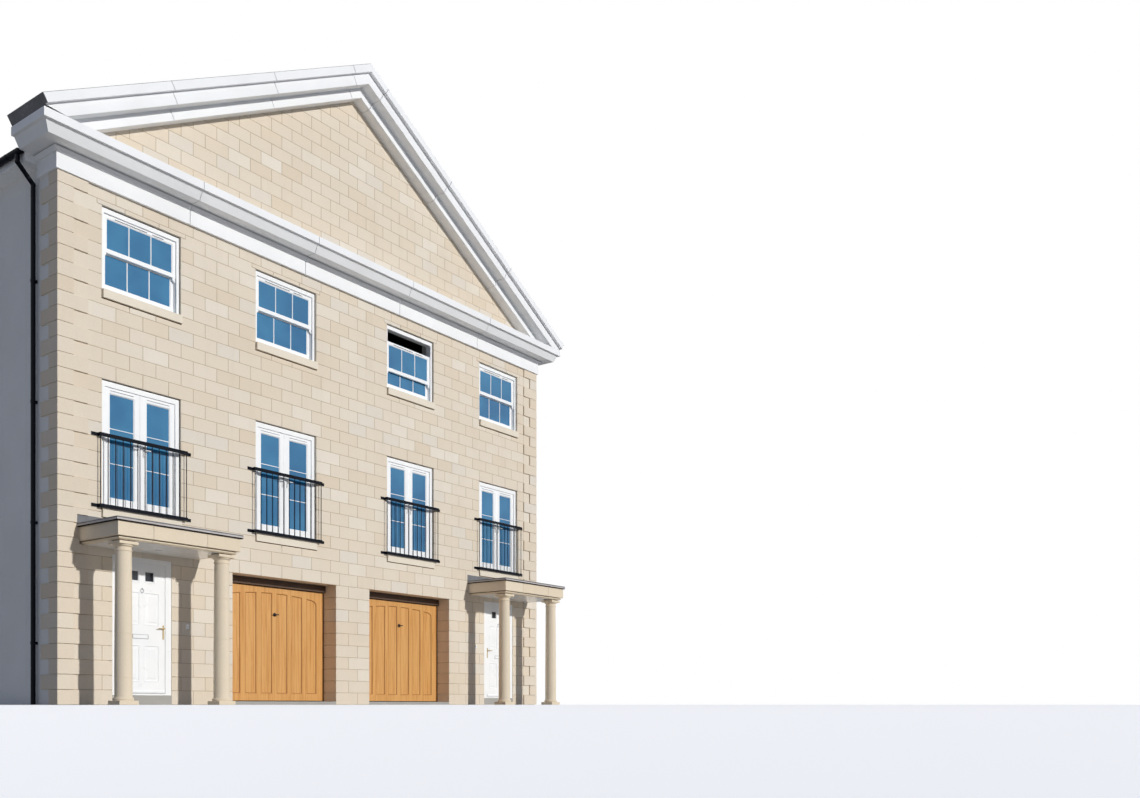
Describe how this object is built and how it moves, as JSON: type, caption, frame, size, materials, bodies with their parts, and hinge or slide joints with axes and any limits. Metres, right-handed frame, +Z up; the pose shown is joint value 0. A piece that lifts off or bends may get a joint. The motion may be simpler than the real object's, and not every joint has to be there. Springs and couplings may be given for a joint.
{
  "type": "pair of three-storey town houses",
  "caption": "Handed pair of stone-fronted town houses under one pediment, with columned porches, railed French doors, sash windows and up-and-over garage doors.",
  "frame": {"origin": "on the ground in the middle of the plan of the outer walls, in the underside of the floor slab", "axes": "+X along the front to the right as seen from the street, +Y from the street front to the rear, +Z up"},
  "size_m": [12.443, 10.59, 12.1092],
  "materials": {
    "concrete": "cast concrete",
    "floor_timber": "boarded floor",
    "cream_stone": "dressed cream sandstone",
    "white_trim": "pale cast mouldings",
    "render": "smooth off-white render",
    "lead": "weathered sheet lead",
    "slate": "riven slate",
    "ridge_clay": "dark ridge tiles",
    "black_metal": "dark gloss paint",
    "white_frame": "white satin frames",
    "window_glass": "clear double glazing",
    "brass": "polished brass",
    "oak": "golden oak",
    "frame_timber": "dark stained timber",
    "galvanised_steel": "galvanised steel"
  },
  "bodies": {
    "houses": {"ground_floor_slab": "concrete", "garage_slabs": "concrete", "upper_floors": "floor_timber", "front_piers": "cream_stone", "front_bands": "cream_stone", "pediment_wall": "cream_stone", "corner_stones": "cream_stone", "stone_returns": "cream_stone", "window_sills": "cream_stone", "porch_columns": "cream_stone", "porch_canopies": "cream_stone", "cornice": "white_trim", "raking_cornice": "white_trim", "eaves_boards": "white_trim", "porch_soffits": "white_trim", "side_walls": "render", "rear_piers": "render", "rear_bands": "render", "lead_capping": "lead", "porch_lead_roofs": "lead", "roof_slope_left": "slate", "roof_slope_right": "slate", "ridge_tiles": "ridge_clay", "gutters": "black_metal", "downpipes": "black_metal", "balconies": "black_metal", "window_frames": "white_frame", "window_sashes": "white_frame", "french_doors": "white_frame", "door_frames": "white_frame", "window_glass": "window_glass", "garage_frames": "frame_timber", "garage_tracks": "galvanised_steel"},
    "front_door_left": {"front_door_left": "white_frame", "front_door_glass_left": "window_glass", "front_door_fittings_left": "brass"},
    "front_door_right": {"front_door_right": "white_frame", "front_door_glass_right": "window_glass", "front_door_fittings_right": "brass"},
    "garage_runners_left": {"garage_runners_left": "galvanised_steel"},
    "garage_runners_right": {"garage_runners_right": "galvanised_steel"},
    "garage_door_left": {"garage_door_left": "oak", "garage_handle_left": "black_metal"},
    "garage_door_right": {"garage_door_right": "oak", "garage_handle_right": "black_metal"}
  },
  "joints": [
    {"name": "front_door_hinge_left", "type": "hinge", "parent": "houses", "child": "front_door_left", "pos_m": [-4.80025, -4.6463, 1.2], "axis": [0, 0, 1], "range_deg": [0, 90]},
    {"name": "garage_lift_left", "type": "slide", "parent": "houses", "child": "garage_runners_left", "axis": [0, 0, 1], "range_m": [0, 0.995]},
    {"name": "garage_tilt_left", "type": "hinge", "parent": "garage_runners_left", "child": "garage_door_left", "pos_m": [-1.575, -4.3575, 1.095], "axis": [-1, 0, 0], "range_deg": [0, 90]},
    {"name": "front_door_hinge_right", "type": "hinge", "parent": "houses", "child": "front_door_right", "pos_m": [4.80025, -4.6463, 1.2], "axis": [0, 0, -1], "range_deg": [0, 90]},
    {"name": "garage_lift_right", "type": "slide", "parent": "houses", "child": "garage_runners_right", "axis": [0, 0, 1], "range_m": [0, 0.995]},
    {"name": "garage_tilt_right", "type": "hinge", "parent": "garage_runners_right", "child": "garage_door_right", "pos_m": [1.575, -4.3575, 1.095], "axis": [-1, 0, 0], "range_deg": [0, 90]}
  ],
  "couplings": [
    {"joint": "garage_tilt_left", "follows": "garage_lift_left", "rad_per_m": 1.5786},
    {"joint": "garage_tilt_right", "follows": "garage_lift_right", "rad_per_m": 1.5786}
  ]
}
